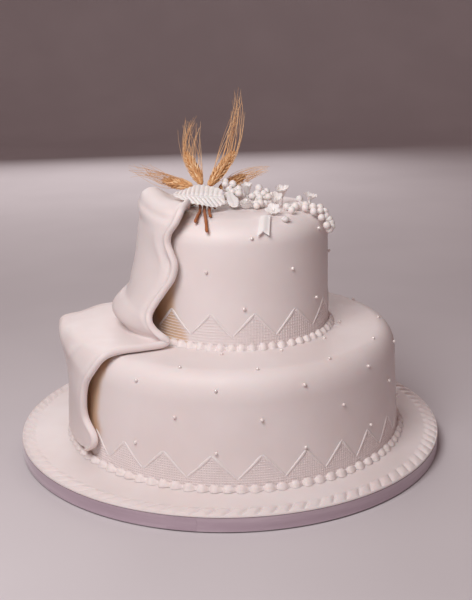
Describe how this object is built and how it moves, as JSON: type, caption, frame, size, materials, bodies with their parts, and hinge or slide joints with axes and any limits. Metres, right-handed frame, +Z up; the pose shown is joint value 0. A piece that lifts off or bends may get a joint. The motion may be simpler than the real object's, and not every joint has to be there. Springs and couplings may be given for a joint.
{
  "type": "tiered wedding cake",
  "caption": "Two-tier round wedding cake in ivory icing on an iced round board, with a draped swag, piped borders, pearls, and sugar fruit with dried wheat on top.",
  "frame": {"origin": "centre of the board's underside", "axes": "+Z up through the tiers, -Y towards the front of the cake as it is looked at, so the swag is on the -X side"},
  "size_m": [0.4064, 0.4064, 0.333],
  "materials": {
    "sugar_paste": "smooth rolled sugar paste, soft satin sheen",
    "royal_icing": "piped royal icing, matt",
    "drum": "foil-covered cake drum",
    "satin": "lilac satin ribbon",
    "wheat_straw": "dried wheat, matt straw"
  },
  "bodies": {
    "root": {"board": "drum", "board_ribbon": "satin", "board_paste": "sugar_paste", "lower_tier": "sugar_paste", "upper_tier": "sugar_paste", "lower_border": "royal_icing", "upper_border": "royal_icing", "swag": "sugar_paste", "leaf_large": "sugar_paste", "leaf_small": "sugar_paste", "grapes_left": "sugar_paste", "grapes_middle": "sugar_paste", "grapes_right": "sugar_paste", "blossom_1": "sugar_paste", "blossom_2": "sugar_paste", "blossom_3": "sugar_paste", "blossom_4": "sugar_paste", "blossom_5": "sugar_paste", "rose": "sugar_paste", "bud": "sugar_paste", "ribbon_tail": "sugar_paste", "wheat_1": "wheat_straw", "wheat_2": "wheat_straw", "wheat_3": "wheat_straw", "wheat_4": "wheat_straw"}
  },
  "joints": []
}
